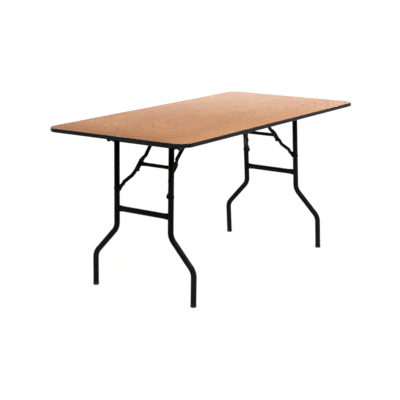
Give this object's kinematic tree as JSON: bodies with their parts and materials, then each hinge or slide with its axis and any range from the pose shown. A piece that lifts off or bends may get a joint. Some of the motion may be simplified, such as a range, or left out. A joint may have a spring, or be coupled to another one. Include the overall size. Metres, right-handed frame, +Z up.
{
  "type": "folding banquet table",
  "caption": "Rectangular folding banquet table: plywood top with a black vinyl edge on wishbone tube leg sets, each locked by a folding two-link brace.",
  "frame": {"origin": "on the floor, under the middle of the top (bounding box bottom centre)", "axes": "+X along the top towards end b, +Y across the top towards the back side, +Z up"},
  "size_m": [1.5238, 0.7618, 0.762],
  "materials": {
    "plywood": "clear lacquered plywood",
    "edge_vinyl": "satin black vinyl",
    "black_steel": "satin black powder coat",
    "rivet_steel": "bright zinc plate",
    "black_plastic": "moulded black plastic",
    "foot_rubber": "matt black"
  },
  "bodies": {
    "table_top": {"plywood_top": "plywood", "edge_band": "edge_vinyl", "leg_bracket_rivets": "rivet_steel", "brace_bracket_rivets": "rivet_steel", "bumper_rivets": "rivet_steel", "bumper_1": "black_plastic", "bumper_2": "black_plastic", "bumper_3": "black_plastic", "bumper_4": "black_plastic", "bumper_5": "black_plastic", "bumper_6": "black_plastic", "leg_bracket_a_front": "black_steel", "brace_bracket_a_front": "black_steel", "leg_bracket_a_back": "black_steel", "brace_bracket_a_back": "black_steel", "brace_pivot_rivets_a": "black_steel", "leg_bracket_b_front": "black_steel", "brace_bracket_b_front": "black_steel", "leg_bracket_b_back": "black_steel", "brace_bracket_b_back": "black_steel", "brace_pivot_rivets_b": "black_steel"},
    "leg_set_a": {"pivot_tube_a": "black_steel", "pivot_plugs_a": "black_plastic", "leg_a_front": "black_steel", "leg_a_back": "black_steel", "lower_crossbar_a": "black_steel", "foot_cap_a_front": "foot_rubber", "foot_cap_a_back": "foot_rubber", "link_rivets_a": "black_steel"},
    "upper_brace_a": {"upper_link_a_front": "black_steel", "upper_link_a_back": "black_steel", "knee_bar_a": "black_steel", "knee_rivet_tails_a": "black_steel"},
    "lower_links_a": {"lower_link_a_front": "black_steel", "lower_link_a_back": "black_steel", "knee_rivets_a": "black_steel"},
    "leg_set_b": {"pivot_tube_b": "black_steel", "pivot_plugs_b": "black_plastic", "leg_b_front": "black_steel", "leg_b_back": "black_steel", "lower_crossbar_b": "black_steel", "foot_cap_b_front": "foot_rubber", "foot_cap_b_back": "foot_rubber", "link_rivets_b": "black_steel"},
    "upper_brace_b": {"upper_link_b_front": "black_steel", "upper_link_b_back": "black_steel", "knee_bar_b": "black_steel", "knee_rivet_tails_b": "black_steel"},
    "lower_links_b": {"lower_link_b_front": "black_steel", "lower_link_b_back": "black_steel", "knee_rivets_b": "black_steel"}
  },
  "joints": [
    {"name": "leg_fold_a", "type": "hinge", "parent": "table_top", "child": "leg_set_a", "pos_m": [-0.5402, 0, 0.7016], "axis": [0, -1, 0], "range_deg": [0, 84.5]},
    {"name": "upper_brace_fold_a", "type": "hinge", "parent": "table_top", "child": "upper_brace_a", "pos_m": [-0.3355, 0, 0.6958], "axis": [0, -1, 0], "range_deg": [0, 134.9]},
    {"name": "lower_link_fold_a", "type": "hinge", "parent": "leg_set_a", "child": "lower_links_a", "pos_m": [-0.54609, 0, 0.47648], "axis": [0, -1, 0], "range_deg": [-120.9, 0]},
    {"name": "leg_fold_b", "type": "hinge", "parent": "table_top", "child": "leg_set_b", "pos_m": [0.5298, 0, 0.7111], "axis": [0, 1, 0], "range_deg": [0, 89.5]},
    {"name": "upper_brace_fold_b", "type": "hinge", "parent": "table_top", "child": "upper_brace_b", "pos_m": [0.3109, 0, 0.7253], "axis": [0, 1, 0], "range_deg": [0, 135.2]},
    {"name": "lower_link_fold_b", "type": "hinge", "parent": "leg_set_b", "child": "lower_links_b", "pos_m": [0.54747, 0, 0.48659], "axis": [0, 1, 0], "range_deg": [-122.7, 0]}
  ],
  "couplings": [
    {"joint": "upper_brace_fold_a", "follows": "leg_fold_a", "ratio": 1.596},
    {"joint": "lower_link_fold_a", "follows": "leg_fold_a", "ratio": -1.43},
    {"joint": "upper_brace_fold_b", "follows": "leg_fold_b", "ratio": 1.5102},
    {"joint": "lower_link_fold_b", "follows": "leg_fold_b", "ratio": -1.3703}
  ]
}
